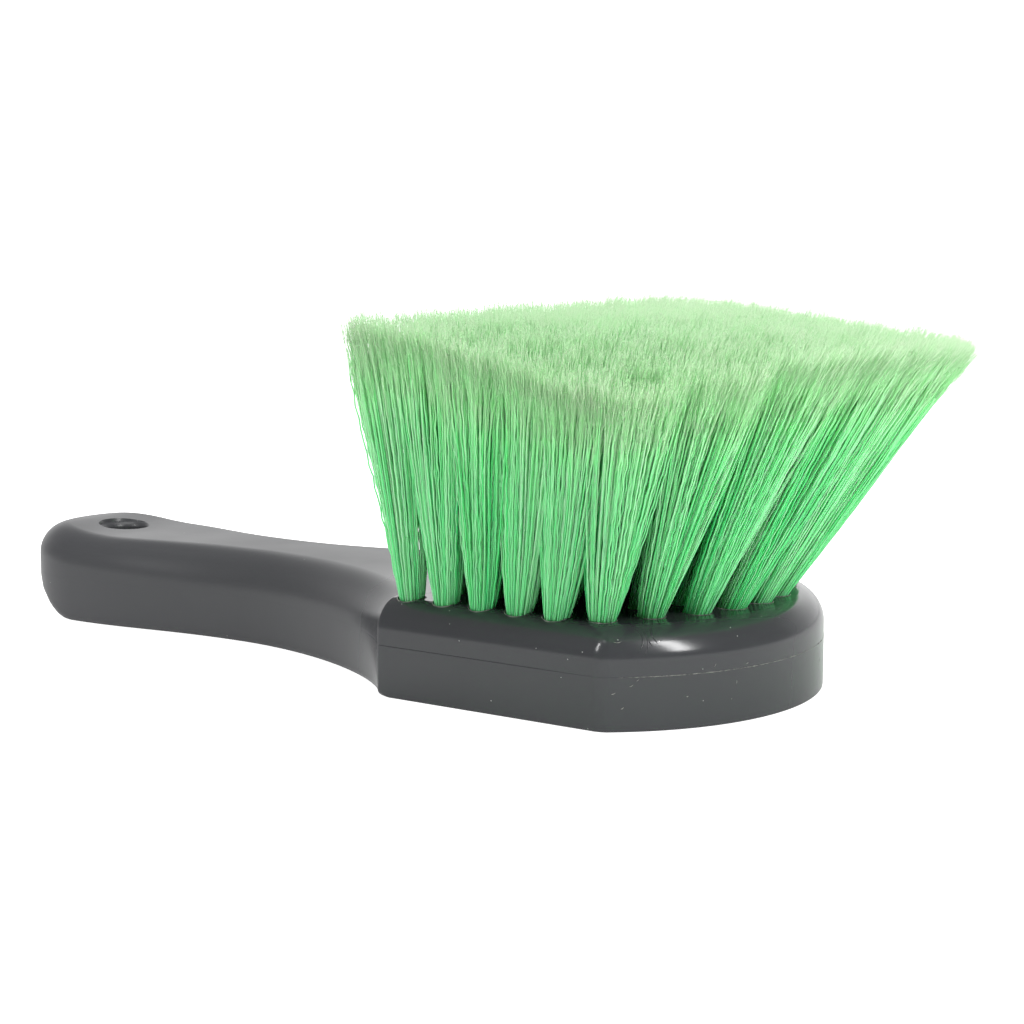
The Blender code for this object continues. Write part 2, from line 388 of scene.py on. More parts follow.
def block_columns():
    """The block's -Y wall from the shoulder to the nose tip, as columns of places."""
    columns = []
    radius = nose_radius()
    centre = Vector((NOSE_X - radius, 0.0))
    start = -math.atan2(BLOCK_HALF_WIDTH, STRAIGHT_SIDE - centre.x)
    corner = Vector((STRAIGHT_SIDE, -BLOCK_HALF_WIDTH))
    side_in = Vector((0.0, 1.0))
    nose_in = -Vector((math.cos(start), math.sin(start)))
    mitre = (side_in + nose_in) / (1.0 + side_in.dot(nose_in))
    turn = side_in.angle(nose_in)
    half_turn = math.tan(turn / 2.0)
    nose_way = Vector((-math.sin(start), math.cos(start)))
    levels = fillet_levels(BLOCK_BOTTOM_FILLET, BLOCK_TOP_FILLET, BLOCK_HEIGHT, NOSE_FLASH, BLOCK_FILLET_END)

    def corner_at(inset):
        """The sharp corner moved in, and the radius that rounds it there."""
        return corner + mitre * inset, max(NOSE_CORNER_RADIUS - inset, NOSE_CORNER_LEAST)

    ends = [BLOCK_END_ROUND * (1.0 - math.cos(math.radians(a))) for a in (0, 30, 60, 90)]
    for x in ends + list(BLOCK_SIDE_PLACES):
        drop = BLOCK_END_ROUND - math.sqrt(BLOCK_END_ROUND**2 - max(0.0, BLOCK_END_ROUND - x) ** 2)
        fade = smooth_step(x, 0.0, BLOCK_END_FADE)
        bottom = BLOCK_END_BOTTOM_FILLET + (BLOCK_BOTTOM_FILLET - BLOCK_END_BOTTOM_FILLET) * fade
        column = []
        for inset, height in fillet_levels(bottom, BLOCK_TOP_FILLET, BLOCK_HEIGHT, 1.0, BLOCK_FILLET_END):
            column.append((x, -BLOCK_HALF_WIDTH + inset + drop, height * (1.0 - drop / BLOCK_HEIGHT)))
        columns.append(column)

    for share in np.linspace(0.0, 1.0, CORNER_COLUMNS):
        a = -math.pi / 2.0 + turn * share
        column = []
        for inset, height in levels:
            sharp, round_here = corner_at(inset)
            place = sharp + mitre * round_here + Vector((math.cos(a), math.sin(a))) * round_here
            column.append((place.x, place.y, height))
        columns.append(column)

    for share in np.linspace(0.0, 1.0, NOSE_COLUMNS)[1:]:
        column = []
        for inset, height in levels:
            sharp, round_here = corner_at(inset)
            leave = sharp + nose_way * round_here * half_turn
            a = math.atan2(leave.y, leave.x - centre.x) * (1.0 - share)
            r = radius - inset
            column.append((centre.x + r * math.cos(a), r * math.sin(a), height))
        columns.append(column)
    return columns


def handle_sizes(x):
    """Bottom fillet, top fillet and top height along the handle."""
    towards_end = smooth_step(-x, *HANDLE_FILLET_SPAN)
    towards_knob = smooth_step(-x, *HANDLE_KNOB_SPAN)
    off_block = smooth_step(-x, *HANDLE_BLEND_SPAN)
    bottom = HANDLE_BOTTOM_FILLET + (HANDLE_END_BOTTOM_FILLET - HANDLE_BOTTOM_FILLET) * towards_end
    top = HANDLE_TOP_FILLET + (HANDLE_KNOB_TOP_FILLET - HANDLE_TOP_FILLET) * towards_knob
    height = BLOCK_HEIGHT + HANDLE_FLUSH + (HANDLE_TOP - BLOCK_HEIGHT) * off_block
    return bottom, top, height + HANDLE_END_RISE * smooth_step(-x, *HANDLE_RISE_SPAN)


def handle_columns():
    """The handle's -Y wall from its end to inside the block."""
    end = (HANDLE_END_X, 0.0)
    knob = (HANDLE_KNOB_X, -HANDLE_KNOB_HALF_WIDTH)
    waist = (HANDLE_WAIST_X, -HANDLE_WAIST_HALF_WIDTH)
    shoulder = (0.0, -BLOCK_HALF_WIDTH + HANDLE_INSIDE_BLOCK_SIDE)
    points = [Vector(end)]
    points += cubic(end, (HANDLE_END_X, -0.013), (-0.133, knob[1]), knob, 26)
    points += cubic(knob, (-0.098, knob[1]), (-0.088, waist[1]), waist, 20)
    points += cubic(waist, (-0.040, waist[1]), (-0.012, -0.029), shoulder, 34)
    points.append(Vector((0.0045, shoulder[1])))
    points.append(Vector((HANDLE_IN_BLOCK, shoulder[1])))
    columns = []
    for i, point in enumerate(points):
        before = points[i - 1] if i else Vector((points[1].x, -points[1].y))
        after = points[min(i + 1, len(points) - 1)]
        way = (after - before).normalized()
        bottom, top, height = handle_sizes(point.x)
        if point.x > 0.0:
            way = Vector((1.0, 0.0))
        if point.x < HANDLE_KNOB_X:
            step = Vector((-way.y, way.x))
        else:
            step = Vector((0.0, 1.0 / max(0.6, way.x)))
        if i == len(points) - 1:
            height, top = height - HANDLE_END_CHAMFER, top - HANDLE_END_CHAMFER
        groove = HANDLE_GROOVE + (1.0 - HANDLE_GROOVE) * smooth_step(point.x, -0.012, 0.0)
        column = []
        for inset, z in fillet_levels(bottom, top, height, groove):
            place = point + step * inset
            column.append((place.x, place.y, z))
        columns.append(column)
    return columns


def shell_from_columns(name, columns, open_start):
    """A closed body from the -Y wall, mirrored, with strips across the back and the top.

    With open_start, the first column doesn't lie on the middle plane, and a flat face closes that end.
    """
    bm = bmesh.new()
    near, far = [], []
    on_axis = {len(columns) - 1} if open_start else {0}
    for i, column in enumerate(columns):
        near.append([bm.verts.new(place) for place in column])
        if i in on_axis:
            for vert in near[-1]:
                vert.co.y = 0.0
            far.append(near[-1])
        else:
            far.append([bm.verts.new((x, -y, z)) for x, y, z in column])
    for i in range(len(columns) - 1):
        for k in range(len(near[i]) - 1):
            bm.faces.new((near[i][k], near[i + 1][k], near[i + 1][k + 1], near[i][k + 1]))
            bm.faces.new((far[i][k], far[i][k + 1], far[i + 1][k + 1], far[i + 1][k]))
        for k, flip in ((0, True), (-1, False)):
            corners = [near[i][k], near[i + 1][k], far[i + 1][k], far[i][k]]
            corners = [v for n, v in enumerate(corners) if v not in corners[:n]]
            bm.faces.new(corners[::-1] if flip else corners)
    if open_start:
        bm.faces.new(near[0] + far[0][::-1])
    else:
        bm.faces.new(near[-1][::-1] + far[-1])
    bmesh.ops.recalc_face_normals(bm, faces=bm.faces)
    return mesh_from_bmesh(name, bm)


def tuft_hole_mesh(tufts):
    bm = bmesh.new()
    profile = ((HOLE_RADIUS, -HOLE_DEPTH), (HOLE_RADIUS, HOLE_MOUTH))
    for tuft in tufts:
        add_turned(bm, profile, 28, tuft.transform())
    return mesh_from_bmesh("tuft_hole_cutter", bm)


def hanging_hole_mesh():
    """A round through hole whose rims open out with a rounded edge."""
    top = handle_sizes(HANGING_HOLE_X)[2]
    rim, radius = HANGING_HOLE_RIM, HANGING_HOLE_RADIUS
    upper = []
    for degrees in range(0, 88, 8):
        a = math.radians(degrees)
        upper.append((radius + rim * (1.0 - math.cos(a)), top - rim + rim * math.sin(a)))
    upper.append((radius + rim * 1.15, top + rim))
    lower = [(r, top - z) for r, z in reversed(upper)]
    bm = bmesh.new()
    add_turned(bm, lower + upper, 72, Matrix.Translation((HANGING_HOLE_X, 0.0, 0.0)))
    return mesh_from_bmesh("hanging_hole_cutter", bm)


def apply_booleans(name, base_mesh, steps):
    """base_mesh with each (operation, mesh) done to it in turn, as a new mesh."""
    base = link(name + "_base", base_mesh)
    tools = []
    for k, (operation, mesh) in enumerate(steps):
        tool = link(f"{name}_tool_{k}", mesh)
        cut = base.modifiers.new(f"step_{k}", "BOOLEAN")
        cut.operation, cut.solver, cut.object = operation, "EXACT", tool
        tools.append(tool)
    bpy.context.view_layer.update()
    evaluated = base.evaluated_get(bpy.context.evaluated_depsgraph_get())
    mesh = bpy.data.meshes.new_from_object(evaluated)
    mesh.name = name
    for obj in tools + [base]:
        bpy.data.objects.remove(obj, do_unlink=True)
    return mesh


def sharpen_top_edge(mesh):
    """The block's top face keeps a crisp edge where the fillet runs into it."""
    bm = bmesh.new()
    bm.from_mesh(mesh)
    for edge in bm.edges:
        if len(edge.link_faces) == 2 and min(v.co.z for v in edge.verts) > BLOCK_HEIGHT - 1e-5:
            rises = sorted(face.normal.z for face in edge.link_faces)
            if edge.verts[0].co.x > 0.001 and rises[0] < 0.99 and rises[1] > 0.9999:
                edge.smooth = False
    bm.to_mesh(mesh)
    bm.free()


def make_moulding(tufts, material):
    block = shell_from_columns("block", block_columns(), True)
    handle = shell_from_columns("handle", handle_columns(), False)
    steps = [("UNION", handle), ("DIFFERENCE", tuft_hole_mesh(tufts)), ("DIFFERENCE", hanging_hole_mesh())]
    mesh = apply_booleans("block_handle_moulding", block, steps)
    mesh.shade_smooth()
    mesh.set_sharp_from_angle(angle=math.radians(SHARP_ANGLE))
    sharpen_top_edge(mesh)
    moulding = link("block_handle_moulding", mesh, material)
    weighted = moulding.modifiers.new("face_area_normals", "WEIGHTED_NORMAL")
    weighted.keep_sharp = True
    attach(moulding, "root")
    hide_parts("block_handle")


# ---------------------------------------------------------------- filaments


def even_disc(count, rng):
    """Even, slightly shaken places in a disc of radius 1."""
    k = np.arange(count)
    radius = np.sqrt((k + 0.5) / count)
    places = np.stack([radius * np.cos(k * GOLDEN_ANGLE), radius * np.sin(k * GOLDEN_ANGLE)], 1)
    return places + rng.normal(0.0, 0.25 / math.sqrt(count), places.shape)


class Field:
    """The trimmed field of tips: its edge, from the tufts on its outside, and its height all over."""

    def __init__(self, tufts):
        self.tips = np.array([t.tip for t in tufts])
        tips = [Vector(t.tip[:2]) for t in tufts]
        hull = [tips[i] for i in geometry.convex_hull_2d(tips)]
        middle = sum(hull, Vector((0.0, 0.0))) / len(hull)
        self.sides = []
        for a, b in zip(hull, hull[1:] + hull[:1]):
            out = Vector((b.y - a.y, a.x - b.x)).normalized()
            if out.dot(a - middle) < 0.0:
                out = -out
            margin = SIDE_MARGIN + (NOSE_MARGIN - SIDE_MARGIN) * max(0.0, out.x)
            margin += (SHOULDER_MARGIN - SIDE_MARGIN) * max(0.0, -out.x)
            self.sides.append((np.array(out), out.dot(a), margin))

    def inside(self, places):
        """How far each place lies inside the nearest side of the outermost tips."""
        return np.min([reach - places @ out for out, reach, _ in self.sides], axis=0)

    def height(self, places):
        """The height of the trimmed surface over each place, smoothed over the tufts round it."""
        apart = np.linalg.norm(places[:, None] - self.tips[None, :, :2], axis=2)
        weight = 1.0 / (apart**2 + HEIGHT_REACH**2) ** 2
        return (weight * self.tips[:, 2]).sum(1) / weight.sum(1)

    def spread(self, tip):
        """How far a tuft's filaments spread at the tips, to fill the room up to its neighbours."""
        apart = np.sort(np.linalg.norm(self.tips - tip, axis=1))[1:6].mean()
        return min(TIP_SPREAD_MOST, max(TIP_SPREAD_LEAST, TIP_SPREAD * apart))

    def gathered(self, places):
        """Places outside the outermost tips move in, so that the field ends at its margin."""
        places = places.copy()
        for out, reach, margin in self.sides:
            past = np.maximum(0.0, places @ out - reach)
            places -= np.outer(past * (1.0 - margin / FIELD_OVERHANG), out)
        return places


class Filaments:
    """Centre lines of one tuft's filaments, as a function of the share of the way from mouth to tip."""

    def __init__(self, tuft, field, rng):
        self.tuft, self.rng = tuft, rng
        disc = even_disc(FILAMENTS, rng)
        locks = even_disc(LOCKS, rng)
        lock = np.argmin(np.linalg.norm(disc[:, None] - locks[None], axis=2), axis=1)
        spread = disc + (locks[lock] - disc) * LOCK_PULL + rng.normal(0.0, TIP_SHAKE, disc.shape)
        tip_xy = tuft.tip[:2] + spread * field.spread(tuft.tip)
        tip = np.zeros((FILAMENTS, 3))
        tip[:, :2] = field.gathered(tip_xy)
        lock_trim = rng.normal(0.0, LOCK_TRIM, LOCKS)[lock]
        tip[:, 2] = field.height(tip[:, :2]) + lock_trim + rng.normal(0.0, FILAMENT_TRIM, FILAMENTS)
        stem = np.outer(disc[:, 0], tuft.across) + np.outer(disc[:, 1], tuft.up)
        self.root = tuft.mouth + STEM_FILL * stem
        reach = tip - self.root
        self.length = np.linalg.norm(reach, axis=1)
        tip = self.root + reach * np.minimum(1.0, LONGEST_FILAMENT / self.length)[:, None]
        self.root_offset = self.root - tuft.mouth
        self.tip_offset = tip - tuft.tip
        turn = 2.0 * math.pi
        self.wave = rng.uniform(*WAVE_LENGTH, LOCKS)[lock] * rng.normal(1.0, WAVE_SPREAD, FILAMENTS)
        self.phase = rng.uniform(0.0, turn, LOCKS)[lock] + rng.normal(0.0, PHASE_SPREAD, FILAMENTS)
        self.heading = rng.uniform(0.0, turn, LOCKS)[lock] + rng.normal(0.0, HEADING_SPREAD, FILAMENTS)
        self.crimp = np.abs(rng.normal(*CRIMP, FILAMENTS))
        self.sway = rng.normal(0.0, LOCK_SWAY, (LOCKS, 2))[lock]
        self.sway = self.sway + rng.normal(0.0, FILAMENT_SWAY, (FILAMENTS, 2))
        self.sway_phase = rng.uniform(0.0, turn, LOCKS)[lock]
        stray = rng.random(FILAMENTS) < STRAY_SHARE
        self.sway[stray] *= STRAY_SWAY
        self.crimp[stray] *= STRAY_CRIMP
        shade = rng.uniform(0.0, 1.0, LOCKS)[lock] * LOCK_SHADE
        self.shade = np.clip(shade + rng.uniform(0.0, 1.0 - LOCK_SHADE, FILAMENTS), 0.0, 1.0)
        self.split_at = np.clip(rng.normal(*SPLIT_START, FILAMENTS), *SPLIT_START_RANGE)

    def at(self, share):
        """Places for an array of shares, one row per filament."""
        s = share[:, :, None]
        opened = s**OPENING_POWER
        straight = self.tuft.mouth + (self.tuft.tip - self.tuft.mouth) * s
        straight = straight + self.root_offset[:, None] * (1.0 - opened) + self.tip_offset[:, None] * opened
        grow = np.clip(share / CRIMP_GROWN, 0.0, 1.0)
        angle = 2.0 * math.pi * share * (self.length / self.wave)[:, None] + self.phase[:, None]
        crimp = self.crimp[:, None] * grow * np.sin(angle)
        bend = np.sin(math.pi * share * SWAY_TURNS + self.sway_phase[:, None])
        bend = bend - np.sin(self.sway_phase)[:, None]
        x = crimp * np.cos(self.heading)[:, None] + self.sway[:, 0, None] * bend * share
        y = crimp * np.sin(self.heading)[:, None] + self.sway[:, 1, None] * bend * share
        return straight + x[:, :, None] * self.tuft.across + y[:, :, None] * self.tuft.up


def tubes(paths, radii, sides, tuft, first):
    """Closed tubes along paths: places, wall quads and end caps, with corner numbers from first."""
    count, steps = paths.shape[:2]
    angle = 2.0 * math.pi * np.arange(sides) / sides
    ring = np.outer(np.cos(angle), tuft.across) + np.outer(np.sin(angle), tuft.up)
    places = paths[:, :, None] + radii[:, :, None, None] * ring
    index = first + np.arange(count * steps * sides).reshape(count, steps, sides)
    after = np.roll(index, -1, axis=2)
    walls = np.stack([index[:, :-1], after[:, :-1], after[:, 1:], index[:, 1:]], -1).reshape(-1, 4)
    caps = np.concatenate([index[:, 0, ::-1], index[:, -1]])
    return places.reshape(-1, 3), walls, caps


def corner_facts(shade, share, split):
    """The three numbers that the material reads, for each corner of each ring of the tubes."""
    shade = np.broadcast_to(shade[:, None], share.shape)
    return [np.repeat(fact.ravel(), TUBE_SIDES) for fact in (shade, share, split)]


def shaft_tubes(lines, steps):
    """The filaments from the foot of the hole up to where they split."""
    last = lines.split_at + SHAFT_OVERLAP
    share = np.linspace(0.0, 1.0, steps)[None] ** 1.25 * last[:, None]
    paths = lines.at(share)
    foot = lines.root + (lines.tuft.mouth - lines.root) * FOOT_GATHER - lines.tuft.axis * FOOT_DEPTH
    paths = np.concatenate([foot[:, None], paths], axis=1)
    share = np.concatenate([np.zeros((len(share), 1)), share], axis=1)
    thick = FILAMENT_RADIUS * lines.rng.normal(1.0, THICKNESS_SPREAD, len(share))[:, None]
    taper = np.clip((last[:, None] - share) / SHAFT_TAPER, SHAFT_TAPER_LEAST, 1.0)
    split = np.clip(1.0 - (lines.split_at[:, None] - share) / SHAFT_PALING, 0.0, 1.0) * SHAFT_END_SPLIT
    places, walls, caps = tubes(paths, thick * taper, TUBE_SIDES, lines.tuft, 0)
    return places, walls, caps, corner_facts(lines.shade, share, split)


def split_tubes(lines, first):
    """The fine fibres that each filament's end is split into, with corner numbers from first."""
    rng, count = lines.rng, len(lines.shade)
    t = np.linspace(0.0, 1.0, SPLIT_STEPS)
    places, walls, caps, facts = [], [], [], []
    for k in range(SPLITS):
        start = lines.split_at - rng.uniform(0.0, FIBRE_START_SPREAD, count)
        end = np.minimum(FIBRE_END_MOST, rng.normal(*FIBRE_END, count))
        early = rng.random(count) < FIBRE_EARLY_SHARE
        end[early] -= rng.uniform(*FIBRE_EARLY, early.sum())
        share = start[:, None] + (end - start)[:, None] * t
        paths = lines.at(share)
        side = 2.0 * math.pi * (k / SPLITS) + rng.uniform(0.0, 2.0 * math.pi, count)
        reach = np.abs(rng.normal(*FIBRE_REACH, count))
        wild = rng.random(count) < FIBRE_WILD_SHARE
        reach[wild] *= FIBRE_WILD
        out = reach[:, None] * t**FIBRE_OPENING + FIBRE_START_REACH * (1.0 - t)
        turns = rng.uniform(*FIBRE_WAVE_TURNS, count)[:, None]
        wave = FIBRE_WAVE * t * np.sin(2.0 * math.pi * t * turns + side[:, None] * 3.0)
        x = out * np.cos(side)[:, None] - wave * np.sin(side)[:, None]
        y = out * np.sin(side)[:, None] + wave * np.cos(side)[:, None]
        paths = paths + x[:, :, None] * lines.tuft.across + y[:, :, None] * lines.tuft.up
        thick = SPLIT_RADIUS * rng.uniform(*FIBRE_THICKNESS, count)[:, None] * (1.0 - SPLIT_TAPER * t)
        made = tubes(paths, thick, TUBE_SIDES, lines.tuft, first)
        first += len(made[0])
        places.append(made[0])
        walls.append(made[1])
        caps.append(made[2])
        shade = np.clip(lines.shade + rng.normal(0.0, FIBRE_SHADE_SPREAD, count), 0.0, 1.0)
        split = np.broadcast_to(SHAFT_END_SPLIT + (1.0 - SHAFT_END_SPLIT) * t, share.shape)
        facts.append(corner_facts(shade, share, split))
    facts = [np.concatenate(f) for f in zip(*facts)]
    return np.concatenate(places), np.concatenate(walls), np.concatenate(caps), facts


def make_tuft(tuft, field, number, material):
    """One tuft's filaments as one piece; the hidden inner tufts have fewer rings, and their filaments are
    coloured darker as painted shade between the tufts.
    """
    rng = np.random.default_rng(TUFT_SEED + number)
    lines = Filaments(tuft, field, rng)
    outer = field.inside(tuft.tip[None, :2])[0] < INNER_DEPTH
    # painted shade: the inner tufts get a darker green
    lines.shade *= 1.0 if outer else INNER_PAINTED_SHADE
    shafts = shaft_tubes(lines, OUTER_STEPS if outer else INNER_STEPS)
    splits = split_tubes(lines, len(shafts[0]))
    places = np.concatenate([shafts[0], splits[0]])
    polygons = [np.concatenate([shafts[1], splits[1]]), np.concatenate([shafts[2], splits[2]])]
    name = tuft.name.replace("tuft_", "filaments_")
    mesh = mesh_from_arrays(name, places, polygons)
    for k, key in enumerate(("shade", "along", "split")):
        values = np.concatenate([shafts[3][k], splits[3][k]]).astype(np.float32)
        mesh.attributes.new(key, "FLOAT", "POINT").data.foreach_set("value", values)
    piece = link(name, mesh, material)
    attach(piece, "root")
    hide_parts(tuft.name)


# ---------------------------------------------------------------- small pieces


def add_loft(bm, rings, closed):
    """Walls between rings of corners; the rings join up when closed, or else get end caps."""
    made = [[bm.verts.new(corner) for corner in ring] for ring in rings]
    pairs = list(zip(made, made[1:] + made[:1])) if closed else list(zip(made, made[1:]))
    for low, high in pairs:
        for k in range(len(low)):
            n = (k + 1) % len(low)
            bm.faces.new((low[k], low[n], high[n], high[k]))
    if not closed:
        bm.faces.new(made[0][::-1])
        bm.faces.new(made[-1])


def top_height(place):
    """The height of the block's top face or its fillet over a place."""
    radius = nose_radius()
    from_nose = radius - math.hypot(place.x - NOSE_X + radius, place.y)
    inset = max(0.0, min(from_nose, BLOCK_HALF_WIDTH - abs(place.y)))
    last = math.radians(BLOCK_FILLET_END)
    angle = min(last, math.acos(max(0.0, 1.0 - inset / BLOCK_TOP_FILLET)))
    return BLOCK_HEIGHT - BLOCK_TOP_FILLET * (math.sin(last) - math.sin(angle))


def make_burrs(tufts, material):
    """A thin, uneven scraped rim round the mouth of each drilled hole."""
    rng = np.random.default_rng(BURR_SEED)
    bm = bmesh.new()
    for tuft in tufts:
        lean = Vector(tuft.axis[:2])
        along = lean.normalized() if lean.length > 1e-4 else Vector((1.0, 0.0))
        beside = Vector((-along.y, along.x))
        phases = rng.uniform(0.0, 2.0 * math.pi, 4)
        rings = []
        for k in range(BURR_CORNERS):
            a = 2.0 * math.pi * k / BURR_CORNERS
            rough = sum(math.sin((n + 2) * a + phases[n]) for n in range(4)) / 4.0
            tall = BURR_HEIGHT * (0.45 + 0.55 * rough * abs(rough)) * rng.uniform(0.6, 1.3)
            wide = BURR_WIDTH * (0.8 + 0.3 * rough)
            out = along * (math.cos(a) / tuft.axis[2]) + beside * math.sin(a)
            way = out.normalized()
            edge = Vector(tuft.mouth[:2]) + out * HOLE_RADIUS
            edge += along * (top_height(edge) - BLOCK_HEIGHT) * lean.length / tuft.axis[2]
            crest = (wide * 0.35, max(BURR_LEAST, tall))
            ring = []
            for step, rise in ((-BURR_OVERLAP, -BURR_SINK), crest, (wide, -BURR_SINK)):
                place = edge + way * step
                ring.append((place.x, place.y, top_height(place) + rise))
            rings.append(ring)
        add_loft(bm, rings, True)
    bmesh.ops.recalc_face_normals(bm, faces=bm.faces)
    mesh = mesh_from_bmesh("hole_rim_burrs", bm)
    mesh.shade_smooth()
    burrs = link("hole_rim_burrs", mesh, material)
    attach(burrs, "root")


def nose_surface(degrees, tilt, height=None):
    """A place on the nose and the way out of it: tilt is the angle up its fillet, 0 on its wall."""
    radius = nose_radius()
    turn, tilt = math.radians(degrees), math.radians(tilt)
    if height is None:
        drop = math.sin(math.radians(BLOCK_FILLET_END)) - math.sin(tilt)
        height = BLOCK_HEIGHT - BLOCK_TOP_FILLET * drop
    way = Vector((math.cos(turn), math.sin(turn), 0.0))
    inset = BLOCK_TOP_FILLET * (1.0 - math.cos(tilt))
    place = Vector((NOSE_X - radius, 0.0, height)) + way * (radius - inset)
    return place, way * math.cos(tilt) + Vector((0.0, 0.0, math.sin(tilt)))


def flat_ring(centre, out, side, thick, rise):
    """Eight corners round a thread that lies on a surface: thick across it, rise times that out of it."""
    angles = [2.0 * math.pi * k / 8 for k in range(8)]
    return [centre + (out * rise * math.sin(a) + side * math.cos(a)) * thick for a in angles]


def make_flow_marks(material):
    """Short raised flow marks that run up the nose's fillet, side by side."""
    bm = bmesh.new()
    for degrees, low, high, bend in FLOW_MARKS:
        rings = []
        for step in np.linspace(0.0, 1.0, FLOW_MARK_STEPS):
            turn = degrees + bend * math.sin(math.pi * step)
            centre, out = nose_surface(turn, low + (high - low) * step)
            side = Vector((-math.sin(math.radians(turn)), math.cos(math.radians(turn)), 0.0))
            thick = FLOW_MARK_RADIUS * math.sin(math.pi * (0.06 + 0.88 * step))
            rings.append(flat_ring(centre, out, side, thick, FLOW_MARK_RISE))
        add_loft(bm, rings, False)
    bmesh.ops.recalc_face_normals(bm, faces=bm.faces)
    mesh = mesh_from_bmesh("flow_marks", bm)
    mesh.shade_smooth()
    marks = link("flow_marks", mesh, material)
    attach(marks, "root")


def make_scuffs(material):
    """Small scraped slivers on the nose's wall and fillet."""
    bm = bmesh.new()
    for degrees, tilt, height, length, slant in SCUFFS:
        centre, out = nose_surface(degrees, tilt, height)
        turn, slope = math.radians(degrees), math.radians(slant)
        side = Vector((-math.sin(turn), math.cos(turn), 0.0))
        along = side * math.cos(slope) + out.cross(side) * math.sin(slope)
        across = out.cross(along)
        rings = []
        for step in np.linspace(-0.5, 0.5, 9):
            thick = SCUFF_RADIUS * math.cos(math.pi * step * 0.94)
            place = centre + along * length * step + across * length * 0.5 * step * step
            rings.append(flat_ring(place, out, across, thick, SCUFF_RISE))
        add_loft(bm, rings, False)
    bmesh.ops.recalc_face_normals(bm, faces=bm.faces)
    scuffs = link("moulding_scuffs", mesh_from_bmesh("moulding_scuffs", bm), material)
    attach(scuffs, "root")


def make_flash(material):
    """The uneven thread of flash that stands out of the parting line round the nose."""
    rng = np.random.default_rng(FLASH_SEED)
    bm = bmesh.new()
    rings = []
    for degrees in np.linspace(-FLASH_END, FLASH_END, FLASH_STEPS):
        fade = smooth_step(FLASH_END - abs(degrees), 0.0, FLASH_FADE)
        centre, out = nose_surface(degrees, 0.0, PARTING_HEIGHT + rng.normal(0.0, 0.00001))
        lump = 1.9 if rng.random() < 0.05 else 1.0
        thick = FLASH_RADIUS * lump * rng.uniform(0.45, 1.1) * (0.35 + 0.65 * fade)
        rings.append(flat_ring(centre, out, Vector((0.0, 0.0, 1.0)), thick, FLASH_RISE))
    add_loft(bm, rings, False)
    bmesh.ops.recalc_face_normals(bm, faces=bm.faces)
    mesh = mesh_from_bmesh("parting_flash", bm)
    mesh.shade_smooth()
    flash = link("parting_flash", mesh, material)
    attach(flash, "root")


def make_staples(tufts, material):
    """The flat wire anchor across the bottom of each hole, whose ends bite into the hole's wall."""
    bm = bmesh.new()
    for tuft in tufts:
        transform = tuft.transform() @ Matrix.Translation((0.0, 0.0, -STAPLE_DEPTH))
        made = bmesh.ops.create_cube(bm, size=1.0, matrix=transform @ Matrix.Diagonal((*STAPLE_SIZE, 1.0)))
        edges = {edge for vert in made["verts"] for edge in vert.link_edges}
        bmesh.ops.bevel(bm, geom=list(edges), offset=STAPLE_BEVEL, segments=2, affect="EDGES")
    mesh = mesh_from_bmesh("tuft_staples", bm)
    staples = link("tuft_staples", mesh, material)
    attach(staples, "root")


# ---------------------------------------------------------------- materials


def new_material(name):
    """A material, its node tree and its main shader."""
    material = bpy.data.materials.new(name)
    material.use_nodes = True
    return material, material.node_tree, material.node_tree.nodes["Principled BSDF"]


def add_node(tree, kind, links=(), **values):
    """A node with named input values, and links given as (input, output socket)."""
    node = tree.nodes.new(kind)
    for key, value in values.items():
        node.inputs[key.replace("_", " ")].default_value = value
    for key, socket in links:
        tree.links.new(socket, node.inputs[key])
    return node


def mix_colours(tree, share, a, b):
    """a towards b by share; each is a socket or a colour."""
    node = tree.nodes.new("ShaderNodeMix")
    node.data_type = "RGBA"
    for key, value in ((0, share), (6, a), (7, b)):
        if isinstance(value, bpy.types.NodeSocket):
            tree.links.new(value, node.inputs[key])
        else:
            node.inputs[key].default_value = value
    return node.outputs[2]


def maths(tree, operation, a, b):
    """The result of a Math node; a and b are each a socket or a number."""
    node = tree.nodes.new("ShaderNodeMath")
    node.operation = operation
    for key, value in ((0, a), (1, b)):
        if isinstance(value, bpy.types.NodeSocket):
            tree.links.new(value, node.inputs[key])
        else:
            node.inputs[key].default_value = value
    return node.outputs[0]


def remap(tree, value, low, high, to_low, to_high):
    """value, taken from its range low to high to the range to_low to to_high and held at its ends."""
    node = add_node(tree, "ShaderNodeMapRange", [("Value", value)])
    for key, number in zip(("From Min", "From Max", "To Min", "To Max"), (low, high, to_low, to_high)):
        node.inputs[key].default_value = number
    return node.outputs["Result"]


